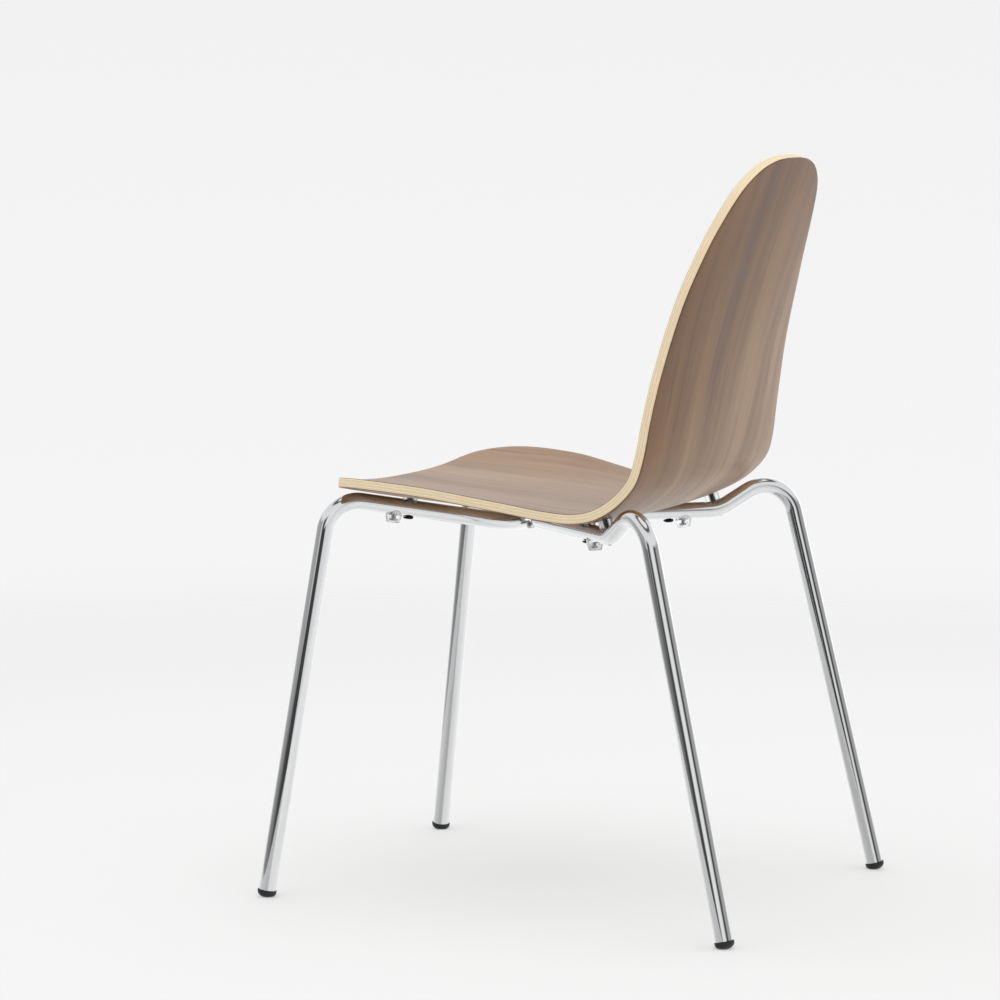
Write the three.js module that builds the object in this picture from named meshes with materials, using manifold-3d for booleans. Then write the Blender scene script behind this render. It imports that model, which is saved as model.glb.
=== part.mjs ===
// Stacking chair: a moulded plywood shell on two bent steel tubes that cross under the seat.
// Millimetres, +Z up. The sitter faces -Y, the sitter's left is +X, and the floor is z = 0.
// The origin is on the floor, midway between the front and rear feet.
import * as THREE from 'three';
import { mergeVertices } from 'three/addons/utils/BufferGeometryUtils.js';
import Module from 'manifold-3d';

const wasm = await Module();
wasm.setup();

// ---- Driving dimensions -------------------------------------------------------------------
const GAP = 0.3;                    // clearance left between touching pieces

const TUBE_RADIUS = 9.5;            // 19 mm steel tube
const TUBE_WALL = 1.5;
const TUBE_BORE = TUBE_RADIUS - TUBE_WALL;
const TUBE_FOOT_HEIGHT = 8;         // height of the tube's end above the floor

// Corners of each tube's centre line on the +X side: foot, knee, (dip,) and the apex on x = 0.
// The other half is the mirror image. Each corner after the foot is rounded with its radius.
const FRONT_TUBE = {
  corners: [[214, -274.3, TUBE_FOOT_HEIGHT], [177.2, -214.3, 442.6], [0, -42, 400.5]],
  radii: [36, 63],
};
const REAR_TUBE = {
  corners: [
    [225.6, 274.3, TUBE_FOOT_HEIGHT], [202.3, 167.6, 458.9], [149.4, 109.1, 412.5], [0, -60.4, 411],
  ],
  radii: [36.5, 50, 38],
};

const SHELL_THICKNESS = 11;
const VENEER = 0.8;                 // face and back veneers; the plywood core is between them
const DISH_WIDTH = 212.7;           // half-width at which the shell rises by its full dish
const DISH_FRONT = 21;              // how far the edges stand proud of the middle at the front,
const DISH_BEND = 9;                // at the bend between seat and back,
const DISH_BACK = 14;               // and up the back
const DISH_POWER = 2.5;             // above 2 keeps the middle flat and lifts the edges

// Side view of the shell's upper face along its middle: seat front to top of the back, (y, z).
const PROFILE = [
  [-214, 452], [-150, 446.7], [-100, 443.2], [-50, 440], [0, 437.1], [40, 433.6], [72, 432.6],
  [96.5, 436.9], [119, 447.3], [136.6, 460.9], [150.3, 477], [158, 499], [165.5, 538.8],
  [176, 598.5], [190.5, 658.7], [208.7, 718.9], [245.4, 818.3],
];
// Half of the flat blank's outline: (half-width, distance along the profile from the front).
const BLANK = [
  [139, 0], [168, 5], [191, 19], [206, 40], [212.7, 66], [211, 112], [197, 170], [183, 222],
  [174, 268], [174, 295], [178, 319], [183.5, 348.5], [186, 383], [183, 417], [178, 465],
  [170, 515], [160, 574], [149, 613], [134.6, 653.5], [108.5, 699.5], [78.5, 722.3],
  [46.5, 732.3], [18, 735.2],
];
const SHELL_ROWS = 46;              // facets from front to top
const SHELL_COLUMNS = 8;            // facets across

// Where things sit along a tube, as the distance from the middle plane of the chair.
const FRONT_SCREW_X = 112;
const REAR_SCREW_X = 110;
const STANDOFF_X = 147.5;
const FRONT_BUMPER_X = 124;
const REAR_BUMPER_X = 121;

// A seat below the tube puts a screw's head outside it; one inside needs an access hole.
const SCREW = { shank: 3, head: 5.8, headHeight: 2.3, hole: 3.4, access: 3.4, seat: -9.8 };
const STANDOFF_SCREW = { shank: 3, head: 3.9, headHeight: 3, hole: 3.4, access: 4.3, seat: 6.5 };
const SPACER_RADIUS = 8;
const TNUT = { flange: 9, flangeThickness: 1.2, barrel: 4.4, bore: 3.2, cover: 0.4, inset: 1.8 };
const BUMPER = { topRadius: 9.2, baseRadius: 7.4, below: 8.5, above: 5.5, hole: 2.3, recess: 4.4 };
const BUMPER_SCREW = { shank: 2, head: 4, headHeight: 2.4 };
const GLIDE = { radius: 10.6, collar: 2.5, spigotRadius: 7.3, spigotLength: 22, dome: 9.2 };
const WELD_LENGTH = 22;

// ---- Materials ----------------------------------------------------------------------------
function material(color, roughness, metalness, opacity = 1) {
  return new THREE.MeshStandardMaterial({
    color, roughness, metalness, opacity, transparent: opacity < 1,
  });
}
const walnut = material(0x8c7362, 0.55, 0);
const birch = material(0xe3cda4, 0.6, 0);
const chrome = material(0xd8dadc, 0.08, 1);
const blackPlastic = material(0x151515, 0.45, 0);
const clearPlastic = material(0xe6eaec, 0.1, 0, 0.4);
const blackSteel = material(0x202022, 0.4, 0.8);
const zincSteel = material(0xb4b6b8, 0.35, 1);
const weldSteel = material(0xc4c6c8, 0.3, 1);

const chair = new THREE.Group();
function addPiece(name, geometry, finish) {
  const mesh = new THREE.Mesh(geometry, finish);
  mesh.name = name;
  chair.add(mesh);
  return mesh;
}

// ---- Solids -------------------------------------------------------------------------------
function toSolid(geometry) {
  const bare = geometry.clone();
  bare.deleteAttribute('normal');
  bare.deleteAttribute('uv');
  const merged = mergeVertices(bare, 1e-4);
  const vertProperties = new Float32Array(merged.getAttribute('position').array);
  const triVerts = new Uint32Array(merged.getIndex().array);
  return new wasm.Manifold(new wasm.Mesh({ numProp: 3, vertProperties, triVerts }));
}

function toGeometry(solid) {
  const mesh = solid.getMesh();
  const geometry = new THREE.BufferGeometry();
  geometry.setAttribute('position', new THREE.BufferAttribute(new Float32Array(mesh.vertProperties), 3));
  geometry.setIndex(new THREE.BufferAttribute(new Uint32Array(mesh.triVerts), 1));
  geometry.computeVertexNormals();
  return geometry;
}

// A turned piece: its profile is (radius, height) pairs, and it stands on `base` along `axis`.
function turned(profile, base, axis, sides) {
  const points = profile.map(([radius, height]) => new THREE.Vector2(radius, height));
  const geometry = new THREE.LatheGeometry(points, sides);
  geometry.rotateX(Math.PI / 2);
  const turn = new THREE.Quaternion().setFromUnitVectors(new THREE.Vector3(0, 0, 1), axis);
  geometry.applyQuaternion(turn);
  geometry.translate(base.x, base.y, base.z);
  return geometry;
}

function rod(base, axis, radius, from, to, sides = 16) {
  return turned([[0, from], [radius, from], [radius, to], [0, to]], base, axis, sides);
}

// ---- Tubes --------------------------------------------------------------------------------
// A bent centre line: straight runs with one station at each end, and arcs with several.
class BentLine extends THREE.Curve {
  constructor(corners, radii, degreesPerStep) {
    super();
    this.stations = [];
    const last = corners.length - 1;
    const run = (i) => corners[i + 1].clone().sub(corners[i]).normalize();
    this.stations.push({ point: corners[0], tangent: run(0) });
    for (let i = 1; i < last; i += 1) {
      this.addBend(corners[i], run(i - 1), run(i), radii[i - 1], degreesPerStep);
    }
    this.stations.push({ point: corners[last], tangent: run(last - 1) });
  }

  addBend(corner, before, after, radius, degreesPerStep) {
    const angle = before.angleTo(after);
    const start = corner.clone().addScaledVector(before, -radius * Math.tan(angle / 2));
    const inward = after.clone().addScaledVector(before, -after.dot(before)).normalize();
    const steps = Math.max(3, Math.round(THREE.MathUtils.radToDeg(angle) / degreesPerStep));
    for (let i = 0; i <= steps; i += 1) {
      const turn = (angle * i) / steps;
      const point = start.clone()
        .addScaledVector(before, radius * Math.sin(turn))
        .addScaledVector(inward, radius * (1 - Math.cos(turn)));
      const tangent = before.clone().multiplyScalar(Math.cos(turn))
        .addScaledVector(inward, Math.sin(turn));
      this.stations.push({ point, tangent });
    }
  }

  get steps() {
    return this.stations.length - 1;
  }

  getPointAt(u) {
    return this.stations[Math.round(u * this.steps)].point.clone();
  }

  getTangentAt(u) {
    return this.stations[Math.round(u * this.steps)].tangent.clone();
  }

  // The point and direction where the +X half of the line is at the given x.
  atX(x) {
    const half = this.stations.slice(0, Math.ceil(this.stations.length / 2) + 1);
    const i = half.findIndex((station, k) => k > 0 && station.point.x <= x);
    const before = half[i - 1];
    const after = half[i];
    const share = (before.point.x - x) / (before.point.x - after.point.x);
    return {
      point: before.point.clone().lerp(after.point, share),
      tangent: before.tangent.clone().lerp(after.tangent, share).normalize(),
    };
  }
}

const mirrored = (vector) => new THREE.Vector3(-vector.x, vector.y, vector.z);

function tubeLine({ corners, radii }) {
  const nearSide = corners.map((corner) => new THREE.Vector3(...corner));
  const farSide = nearSide.slice(0, -1).reverse().map(mirrored);
  return new BentLine([...nearSide, ...farSide], [...radii, ...radii.slice(0, -1).reverse()], 15);
}

function sweep(line, outerRadius, boreRadius = 0) {
  const section = new THREE.Shape().absarc(0, 0, outerRadius, 0, Math.PI * 2);
  if (boreRadius > 0) {
    section.holes.push(new THREE.Path().absarc(0, 0, boreRadius, 0, Math.PI * 2));
  }
  return new THREE.ExtrudeGeometry(section, { steps: line.steps, curveSegments: 7, extrudePath: line });
}

const frontLine = tubeLine(FRONT_TUBE);
const rearLine = tubeLine(REAR_TUBE);

// ---- Shell surface ------------------------------------------------------------------------
const profileCurve = new THREE.CatmullRomCurve3(
  PROFILE.map(([y, z]) => new THREE.Vector3(0, y, z)), false, 'centripetal',
);
profileCurve.arcLengthDivisions = 1200;
const profileLength = profileCurve.getLength();

function dishAt(distance) {
  const bend = THREE.MathUtils.smoothstep(distance, 120, 290);
  const back = THREE.MathUtils.smoothstep(distance, 350, 460);
  return DISH_FRONT + (DISH_BEND - DISH_FRONT) * bend + (DISH_BACK - DISH_BEND) * back;
}

// A point of the shell: distance along the profile, x across, and depth below the upper face.
function shellPoint(distance, x, depth = 0) {
  const u = THREE.MathUtils.clamp(distance / profileLength, 0, 1);
  const middle = profileCurve.getPointAt(u);
  const along = profileCurve.getTangentAt(u);
  const rise = dishAt(distance) * (Math.abs(x) / DISH_WIDTH) ** DISH_POWER - depth;
  return new THREE.Vector3(x, middle.y - along.z * rise, middle.z + along.y * rise);
}

function shellNormal(distance, x) {
  const step = 0.5;
  const along = shellPoint(distance + step, x).sub(shellPoint(distance - step, x));
  const across = shellPoint(distance, x + step).sub(shellPoint(distance, x - step));
  return across.cross(along).normalize();
}

const blankEdge = new THREE.CatmullRomCurve3(
  BLANK.map(([halfWidth, distance]) => new THREE.Vector3(halfWidth, distance, 0)), false, 'centripetal',
);

// One layer of the shell, between two depths below the upper face, as a closed solid.
function shellLayer(topDepth, bottomDepth, margin = 0) {
  const rows = blankEdge.getSpacedPoints(SHELL_ROWS);
  const positions = [];
  const indices = [];
  const rowSize = SHELL_COLUMNS + 1;
  const faceSize = rows.length * rowSize;
  for (const depth of [topDepth, bottomDepth]) {
    for (const row of rows) {
      for (let column = 0; column <= SHELL_COLUMNS; column += 1) {
        const x = (row.x + margin) * ((2 * column) / SHELL_COLUMNS - 1);
        positions.push(...shellPoint(row.y, x, depth).toArray());
      }
    }
  }
  const quad = (a, b, c, d) => indices.push(a, b, c, a, c, d);
  for (let row = 0; row < rows.length - 1; row += 1) {
    for (let column = 0; column < SHELL_COLUMNS; column += 1) {
      const a = row * rowSize + column;
      quad(a, a + 1, a + 1 + rowSize, a + rowSize);
      quad(a + faceSize, a + rowSize + faceSize, a + 1 + rowSize + faceSize, a + 1 + faceSize);
    }
    const left = row * rowSize;
    const right = left + SHELL_COLUMNS;
    quad(left, left + rowSize, left + rowSize + faceSize, left + faceSize);
    quad(right, right + faceSize, right + rowSize + faceSize, right + rowSize);
  }
  const topRow = (rows.length - 1) * rowSize;
  for (let column = 0; column < SHELL_COLUMNS; column += 1) {
    quad(column, column + faceSize, column + 1 + faceSize, column + 1);
    const a = topRow + column;
    quad(a, a + 1, a + 1 + faceSize, a + faceSize);
  }
  const geometry = new THREE.BufferGeometry();
  geometry.setAttribute('position', new THREE.Float32BufferAttribute(positions, 3));
  geometry.setIndex(indices);
  return geometry;
}

// ---- Fastener places ----------------------------------------------------------------------
// The axis from a tube's centre line square to the shell above it, and the shell's upper face there.
function fastenerAt(line, x) {
  const centre = line.atX(Math.abs(x));
  let distance = centre.point.y - PROFILE[0][0];
  let across = centre.point.x;
  let face = shellPoint(distance, across);
  for (let pass = 0; pass < 8; pass += 1) {
    const normal = shellNormal(distance, across);
    const miss = centre.point.clone().sub(face);
    miss.addScaledVector(normal, -miss.dot(normal));
    distance += miss.y / Math.max(0.5, normal.z);
    across += miss.x;
    face = shellPoint(distance, across);
  }
  const axis = face.clone().sub(centre.point).normalize();
  const place = {
    centre: centre.point, tangent: centre.tangent, axis, reach: face.distanceTo(centre.point),
  };
  if (x < 0) {
    place.centre = mirrored(place.centre);
    place.tangent = mirrored(place.tangent);
    place.axis = mirrored(place.axis);
  }
  return place;
}

const sides = [['left', 1], ['right', -1]];
const mountPlaces = sides.flatMap(([side, sign]) => [
  { name: `front_${side}`, line: 'front', size: SCREW, ...fastenerAt(frontLine, sign * FRONT_SCREW_X) },
  { name: `rear_${side}`, line: 'rear', size: SCREW, ...fastenerAt(rearLine, sign * REAR_SCREW_X) },
  { name: `standoff_${side}`, line: 'rear', size: STANDOFF_SCREW, ...fastenerAt(rearLine, sign * STANDOFF_X) },
]);
const bumperPlaces = sides.flatMap(([side, sign]) => [
  { name: `front_${side}`, line: 'front', ...fastenerAt(frontLine, sign * FRONT_BUMPER_X) },
  { name: `rear_${side}`, line: 'rear', ...fastenerAt(rearLine, sign * REAR_BUMPER_X) },
]);

// ---- Front and rear leg tubes, drilled for their screws ------------------------------------
function drilledTube(line, lineName) {
  let solid = toSolid(sweep(line, TUBE_RADIUS, TUBE_BORE));
  for (const place of mountPlaces.filter((mount) => mount.line === lineName)) {
    const upper = rod(place.centre, place.axis, place.size.hole, 0, TUBE_RADIUS + 2, 10);
    const lower = rod(place.centre, place.axis, place.size.access, -TUBE_RADIUS - 2, 0, 14);
    solid = solid.subtract(toSolid(upper)).subtract(toSolid(lower));
  }
  for (const place of bumperPlaces.filter((bumper) => bumper.line === lineName)) {
    const pilot = rod(place.centre, place.axis, BUMPER_SCREW.shank + GAP, -TUBE_RADIUS - 2, 0, 8);
    solid = solid.subtract(toSolid(pilot));
  }
  return toGeometry(solid);
}
addPiece('front_leg_tube', drilledTube(frontLine, 'front'), chrome);
addPiece('rear_leg_tube', drilledTube(rearLine, 'rear'), chrome);

// ---- Weld beads above and below the place where the two tubes meet ---------------------------
const frontApex = frontLine.stations[Math.floor(frontLine.steps / 2)].point;
const rearApex = rearLine.stations[Math.floor(rearLine.steps / 2)].point;
const frontKeepOut = toSolid(sweep(frontLine, TUBE_RADIUS + GAP));
const rearKeepOut = toSolid(sweep(rearLine, TUBE_RADIUS + GAP));
function weldBead(direction) {
  const middle = frontApex.clone().add(rearApex).multiplyScalar(0.5);
  const across = rearApex.clone().sub(frontApex).normalize();
  const up = new THREE.Vector3(1, 0, 0).cross(across).multiplyScalar(direction);
  middle.addScaledVector(up, 6.5);
  const bead = rod(middle, new THREE.Vector3(1, 0, 0), 4, -WELD_LENGTH / 2, WELD_LENGTH / 2, 12);
  return toGeometry(toSolid(bead).subtract(frontKeepOut).subtract(rearKeepOut));
}
addPiece('weld_bead_top', weldBead(1), weldSteel);
addPiece('weld_bead_bottom', weldBead(-1), weldSteel);

// ---- Plywood shell: face veneer, core and back veneer ----------------------------------------
const coreTop = VENEER + GAP;
const coreBottom = SHELL_THICKNESS - VENEER - GAP;
const backTop = SHELL_THICKNESS - VENEER;

function drilledCore() {
  let solid = toSolid(shellLayer(coreTop, coreBottom));
  for (const { centre, axis, reach } of mountPlaces) {
    const flangeTop = reach - coreTop + 1;
    const flangeSeat = reach - coreTop - TNUT.cover - TNUT.flangeThickness - GAP;
    const recess = rod(centre, axis, TNUT.flange + GAP, flangeSeat, flangeTop, 14);
    const hole = rod(centre, axis, TNUT.barrel + GAP, reach - SHELL_THICKNESS - 2, flangeTop, 10);
    solid = solid.subtract(toSolid(recess)).subtract(toSolid(hole));
  }
  return toGeometry(solid);
}

function drilledBackVeneer() {
  let solid = toSolid(shellLayer(backTop, SHELL_THICKNESS));
  for (const { centre, axis, reach } of mountPlaces) {
    const hole = rod(centre, axis, TNUT.barrel + GAP, reach - SHELL_THICKNESS - 2, reach - backTop + 2, 10);
    solid = solid.subtract(toSolid(hole));
  }
  return toGeometry(solid);
}
addPiece('face_veneer', shellLayer(0, VENEER), walnut);
addPiece('plywood_core', drilledCore(), birch);
addPiece('back_veneer', drilledBackVeneer(), walnut);

// ---- Mounting screws, T-nuts and clear spacers -----------------------------------------------
const shellKeepOut = toSolid(shellLayer(-6, SHELL_THICKNESS + GAP));

function mountingScrew({ centre, axis, reach, size }) {
  const { seat } = size;
  const tip = reach - coreTop - TNUT.cover - 1;
  const profile = [
    [0, seat - size.headHeight + 1.4], [1.6, seat - size.headHeight + 1.4], [1.6, seat - size.headHeight],
    [size.head - 0.8, seat - size.headHeight], [size.head, seat - size.headHeight + 0.8],
    [size.head, seat], [size.shank, seat], [size.shank, tip - 0.8], [size.shank - 0.8, tip], [0, tip],
  ];
  return turned(profile, centre, axis, 12);
}

function tNut({ centre, axis, reach }) {
  const top = reach - coreTop - TNUT.cover;
  const bottom = reach - SHELL_THICKNESS + TNUT.inset;
  const underFlange = top - TNUT.flangeThickness;
  const profile = [
    [TNUT.bore, bottom], [TNUT.barrel, bottom], [TNUT.barrel, underFlange], [TNUT.flange, underFlange],
    [TNUT.flange, top], [TNUT.bore, top], [TNUT.bore, bottom],
  ];
  return turned(profile, centre, axis, 14);
}

function spacer({ centre, axis, reach, size, line }) {
  const outer = toSolid(rod(centre, axis, SPACER_RADIUS, TUBE_RADIUS * 0.45, reach, 16));
  const hole = toSolid(rod(centre, axis, size.hole, 0, reach + 2, 10));
  const tube = line === 'front' ? frontKeepOut : rearKeepOut;
  return toGeometry(outer.subtract(hole).subtract(tube).subtract(shellKeepOut));
}

for (const place of mountPlaces) {
  addPiece(`mount_screw_${place.name}`, mountingScrew(place), blackSteel);
  addPiece(`tee_nut_${place.name}`, tNut(place), zincSteel);
  addPiece(`clear_spacer_${place.name}`, spacer(place), clearPlastic);
}

// ---- Stacking bumpers under the tubes, each held by one screw --------------------------------
function bumper({ centre, axis, line }) {
  const base = -TUBE_RADIUS - BUMPER.below;
  const profile = [
    [BUMPER.hole, base + 5], [BUMPER.recess, base + 5], [BUMPER.recess, base],
    [BUMPER.baseRadius - 1.2, base], [BUMPER.baseRadius, base + 1.2],
    [BUMPER.topRadius, -TUBE_RADIUS], [BUMPER.topRadius, -TUBE_RADIUS + BUMPER.above],
    [BUMPER.hole, -TUBE_RADIUS + BUMPER.above], [BUMPER.hole, base + 5],
  ];
  const tube = line === 'front' ? frontKeepOut : rearKeepOut;
  return toGeometry(toSolid(turned(profile, centre, axis, 16)).subtract(tube));
}

function bumperScrew({ centre, axis }) {
  const headTop = -TUBE_RADIUS - BUMPER.below + 5 - GAP;
  const headBottom = headTop - BUMPER_SCREW.headHeight;
  const tip = -TUBE_RADIUS + TUBE_WALL + 3;
  const profile = [
    [0, headBottom + 1], [1.2, headBottom + 1], [1.2, headBottom], [BUMPER_SCREW.head - 0.8, headBottom],
    [BUMPER_SCREW.head, headBottom + 0.8], [BUMPER_SCREW.head, headTop], [BUMPER_SCREW.shank, headTop],
    [BUMPER_SCREW.shank, tip - 1.5], [0.6, tip], [0, tip],
  ];
  return turned(profile, centre, axis, 10);
}

for (const place of bumperPlaces) {
  addPiece(`stacking_bumper_${place.name}`, bumper(place), clearPlastic);
  addPiece(`bumper_screw_${place.name}`, bumperScrew(place), zincSteel);
}

// ---- Glides: a spigot inside the tube, a collar and a dome that is flat where it stands -------
const belowFloor = new THREE.BoxGeometry(80, 80, 20).translate(0, 0, -10);
function glide(line, sign) {
  const foot = line.stations[0];
  const centre = foot.point.clone();
  const axis = foot.tangent.clone();
  if (sign < 0) {
    centre.x *= -1;
    axis.x *= -1;
  }
  const domeSteps = 5;
  const profile = [[0, -GLIDE.dome]];
  for (let i = 1; i <= domeSteps; i += 1) {
    const turn = (Math.PI / 2) * (i / domeSteps);
    const depth = (GLIDE.dome - GLIDE.collar) * Math.cos(turn);
    profile.push([GLIDE.radius * Math.sin(turn), -GLIDE.collar - depth]);
  }
  profile.push([GLIDE.radius, -GAP], [GLIDE.spigotRadius, -GAP]);
  profile.push([GLIDE.spigotRadius, GLIDE.spigotLength - 2], [GLIDE.spigotRadius - 1.5, GLIDE.spigotLength]);
  profile.push([0, GLIDE.spigotLength]);
  const floorCut = toSolid(belowFloor.clone().translate(centre.x, centre.y, 0));
  return toGeometry(toSolid(turned(profile, centre, axis, 16)).subtract(floorCut));
}
for (const [side, sign] of sides) {
  addPiece(`front_${side}_glide`, glide(frontLine, sign), blackPlastic);
  addPiece(`rear_${side}_glide`, glide(rearLine, sign), blackPlastic);
}

export default chair;
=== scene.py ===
"""Looks of the stacking chair: a moulded plywood shell on two bent chromed tubes.

Metres, +Z up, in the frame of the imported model. The sitter faces -Y and the sitter's left is +X.
Sizes below are in millimetres and are turned into metres where vertices are made.
"""

import math

import bpy
import numpy as np
from mathutils import Matrix, Vector


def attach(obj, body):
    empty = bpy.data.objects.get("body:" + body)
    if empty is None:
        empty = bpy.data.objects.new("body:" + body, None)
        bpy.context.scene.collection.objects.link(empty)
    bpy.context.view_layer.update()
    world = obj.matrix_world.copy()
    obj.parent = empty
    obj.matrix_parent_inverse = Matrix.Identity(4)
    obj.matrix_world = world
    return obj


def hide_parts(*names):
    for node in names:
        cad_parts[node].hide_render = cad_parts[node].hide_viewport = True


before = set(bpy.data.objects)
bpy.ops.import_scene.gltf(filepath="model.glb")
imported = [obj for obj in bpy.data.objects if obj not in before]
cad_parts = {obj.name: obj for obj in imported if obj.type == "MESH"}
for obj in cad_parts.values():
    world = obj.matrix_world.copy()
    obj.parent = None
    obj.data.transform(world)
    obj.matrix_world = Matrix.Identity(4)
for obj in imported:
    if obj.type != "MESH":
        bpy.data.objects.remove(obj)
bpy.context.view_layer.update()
MM = 0.001

# ---- Driving dimensions, in millimetres ------------------------------------------------------
GAP = 0.3
TUBE_RADIUS = 9.5
TUBE_BORE = 8.0
TUBE_SIDES = 64
BEND_STEP = 2.5                     # degrees of a bend between two rings of the tube

FRONT_TUBE = {
    "corners": [(214, -274.3, 8), (177.2, -214.3, 442.6), (0, -42, 400.5)],
    "radii": [36, 63],
}
REAR_TUBE = {
    "corners": [(225.6, 274.3, 8), (202.3, 167.6, 458.9), (149.4, 109.1, 412.5), (0, -60.4, 411)],
    "radii": [36.5, 50, 38],
}

THICKNESS = 11
VENEER = 0.8
EDGE_RADIUS = 1.7                   # how round the shell's edge is sanded
DISH_WIDTH = 212.7
DISH_FRONT, DISH_BEND, DISH_BACK = 21, 9, 14
DISH_POWER = 2.5                    # above 2 keeps the middle flat and lifts the edges
PROFILE = [                         # (y, z) of the upper face along the middle, front to top
    (-214, 452), (-150, 446.7), (-100, 443.2), (-50, 440), (0, 437.1), (40, 433.6), (72, 432.6),
    (96.5, 436.9), (119, 447.3), (136.6, 460.9), (150.3, 477), (158, 499), (165.5, 538.8),
    (176, 598.5), (190.5, 658.7), (208.7, 718.9), (245.4, 818.3),
]
BLANK = [                           # (half-width, distance from the front) of the flat blank
    (139, 0), (168, 5), (191, 19), (206, 40), (212.7, 66), (211, 112), (197, 170), (183, 222),
    (174, 268), (174, 295), (178, 319), (183.5, 348.5), (186, 383), (183, 417), (178, 465),
    (170, 515), (160, 574), (149, 613), (134.6, 653.5), (108.5, 699.5), (78.5, 722.3),
    (46.5, 732.3), (18, 735.2),
]
DISH_RUN_IN, DISH_RUN_OUT = (120, 290), (350, 460)  # stretches over which the dish changes
SHELL_ROWS, SHELL_COLUMNS = 150, 44

FRONT_SCREW_X, REAR_SCREW_X, STANDOFF_X = 112, 110, 147.5
FRONT_BUMPER_X, REAR_BUMPER_X = 124, 121
SCREW = {
    "shank": 3, "head": 5.8, "height": 2.3, "hole": 3.4, "access": 3.4, "socket": 2.0, "seat": -9.8,
}
STANDOFF_SCREW = {
    "shank": 3, "head": 3.9, "height": 3, "hole": 3.4, "access": 4.3, "socket": 1.6, "seat": 6.5,
}
BUMPER_SCREW = {"shank": 2, "head": 4, "height": 2.4, "socket": 1.25}
SPACER_RADIUS = 8
SPACER_EDGE, SPACER_EDGE_DROP = 0.4, 0.35
TNUT_COVER = 0.4
TUBE_WALL = TUBE_RADIUS - TUBE_BORE
BUMPER = {
    "top": 9.2, "base": 7.4, "below": 8.5, "above": 5.5, "hole": 2.3, "recess": 4.4, "seat": 5,
    "edge": 0.4, "edge_drop": 0.3, "inner": 0.6,
}
GLIDE = {"radius": 10.6, "collar": 2.5, "spigot": 7.3, "length": 22, "dome": 9.2}
WELD_LENGTH, WELD_RADIUS, WELD_RIPPLES = 22, 4, 9
WELD_OFFSET = 6.5                   # from the plane of the two tubes' centre lines


# ---- Camera ----------------------------------------------------------------------------------
CAMERA_PLACE = (3.8193, 1.7443, 0.8959)
CAMERA_AZIMUTH, CAMERA_ELEVATION, CAMERA_ROLL = 115.70, 6.30, 0.16
FOCAL_OVER_WIDTH = 3.8035


def add_camera():
    azimuth, elevation = math.radians(CAMERA_AZIMUTH), math.radians(CAMERA_ELEVATION)
    back = Vector((
        math.sin(azimuth) * math.cos(elevation),
        -math.cos(azimuth) * math.cos(elevation),
        math.sin(elevation),
    ))
    data = bpy.data.cameras.new("camera")
    data.sensor_width = 36
    data.lens = FOCAL_OVER_WIDTH * data.sensor_width
    camera = bpy.data.objects.new("camera", data)
    camera.rotation_mode = "QUATERNION"
    turn = (-back).to_track_quat("-Z", "Y").to_matrix()
    roll = Matrix.Rotation(math.radians(CAMERA_ROLL), 3, "Z")
    camera.rotation_quaternion = (turn @ roll).to_quaternion()
    camera.location = CAMERA_PLACE
    bpy.context.scene.collection.objects.link(camera)
    bpy.context.scene.camera = camera


add_camera()


# ---- Material kit ----------------------------------------------------------------------------
class NodeKit:
    """Short calls that add nodes to a node tree."""

    def __init__(self, tree):
        self.tree = tree

    def node(self, kind, links=None, **settings):
        made = self.tree.nodes.new(kind)
        for key, value in settings.items():
            if key in made.inputs:
                made.inputs[key].default_value = value
            else:
                setattr(made, key, value)
        for socket, source in (links or {}).items():
            self.tree.links.new(source, made.inputs[socket])
        return made

    def stretched(self, source, scale):
        return self.node("ShaderNodeMapping", {"Vector": source}, Scale=scale).outputs["Vector"]

    def noise(self, vector, scale, detail=3.0, rough=0.5, distort=0.0):
        made = self.node(
            "ShaderNodeTexNoise", {"Vector": vector},
            Scale=scale, Detail=detail, Roughness=rough, Distortion=distort,
        )
        return made.outputs["Fac"]

    def ramp(self, value, stops):
        made = self.node("ShaderNodeValToRGB", {"Fac": value})
        elements = made.color_ramp.elements
        while len(elements) < len(stops):
            elements.new(0.5)
        for element, (place, colour) in zip(elements, stops):
            element.position = place
            element.color = colour if len(colour) == 4 else (*colour, 1)
        return made.outputs["Color"]

    def spread(self, value, low, high, to_low, to_high, kind="LINEAR"):
        made = self.node("ShaderNodeMapRange", {"Value": value}, interpolation_type=kind)
        numbers = {"From Min": low, "From Max": high, "To Min": to_low, "To Max": to_high}
        for name, number in numbers.items():
            made.inputs[name].default_value = number
        return made.outputs["Result"]

    def maths(self, operation, *values):
        made = self.node("ShaderNodeMath", operation=operation)
        for socket, value in zip(made.inputs, values):
            if isinstance(value, (int, float)):
                socket.default_value = value
            else:
                self.tree.links.new(value, socket)
        return made.outputs[0]

    def blend(self, mode, factor, first, second):
        made = self.node("ShaderNodeMix", data_type="RGBA", blend_type=mode)
        sockets = (made.inputs["Factor"], made.inputs[6], made.inputs[7])
        for socket, value in zip(sockets, (factor, first, second)):
            if isinstance(value, (int, float)):
                socket.default_value = value
            elif isinstance(value, tuple):
                socket.default_value = (*value, 1)
            else:
                self.tree.links.new(value, socket)
        return made.outputs[2]


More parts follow.
